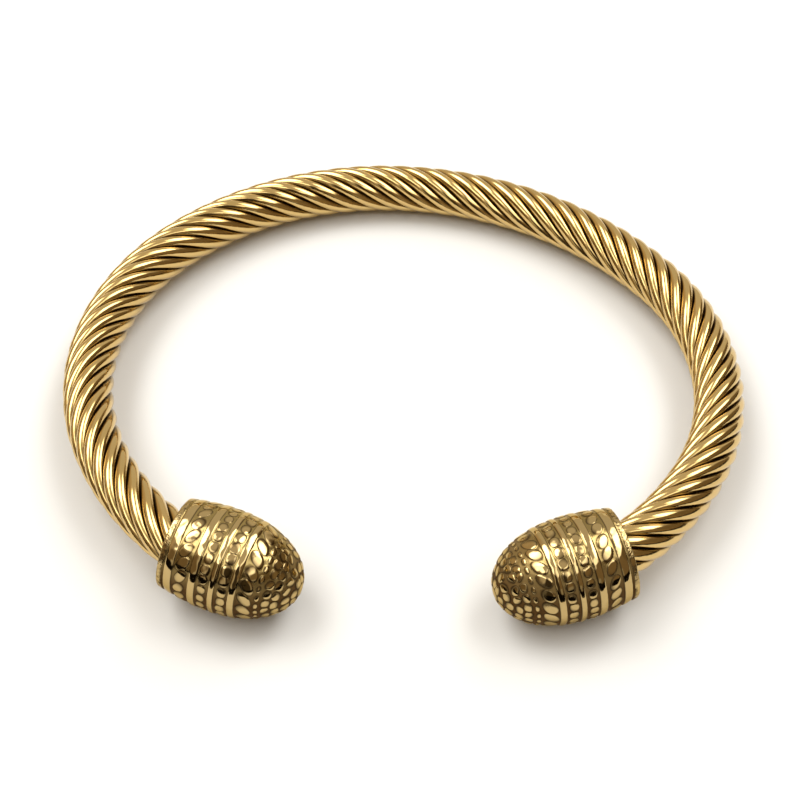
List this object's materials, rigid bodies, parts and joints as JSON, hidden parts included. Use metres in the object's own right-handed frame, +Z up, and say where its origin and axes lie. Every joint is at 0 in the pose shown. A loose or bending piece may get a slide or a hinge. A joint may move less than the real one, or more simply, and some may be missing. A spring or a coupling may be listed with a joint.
{
  "type": "twisted cable cuff bracelet",
  "caption": "Open oval cuff bracelet of rigid twisted metal cable in gold tone, with ornamented egg-shaped end caps, lying on its side.",
  "frame": {"origin": "middle of the underside of the bounding box, on the surface that the cuff lies on", "axes": "+X across the width of the oval, +Y towards the closed back, so that the gap between the caps faces -Y, +Z up from the surface"},
  "size_m": [0.07, 0.0606, 0.0103],
  "materials": {
    "polished_gold_plate": "polished",
    "antiqued_gold_cast": "satin"
  },
  "bodies": {
    "root": {"cable": "polished_gold_plate", "end_cap_left": "antiqued_gold_cast", "end_cap_right": "antiqued_gold_cast"}
  },
  "joints": []
}
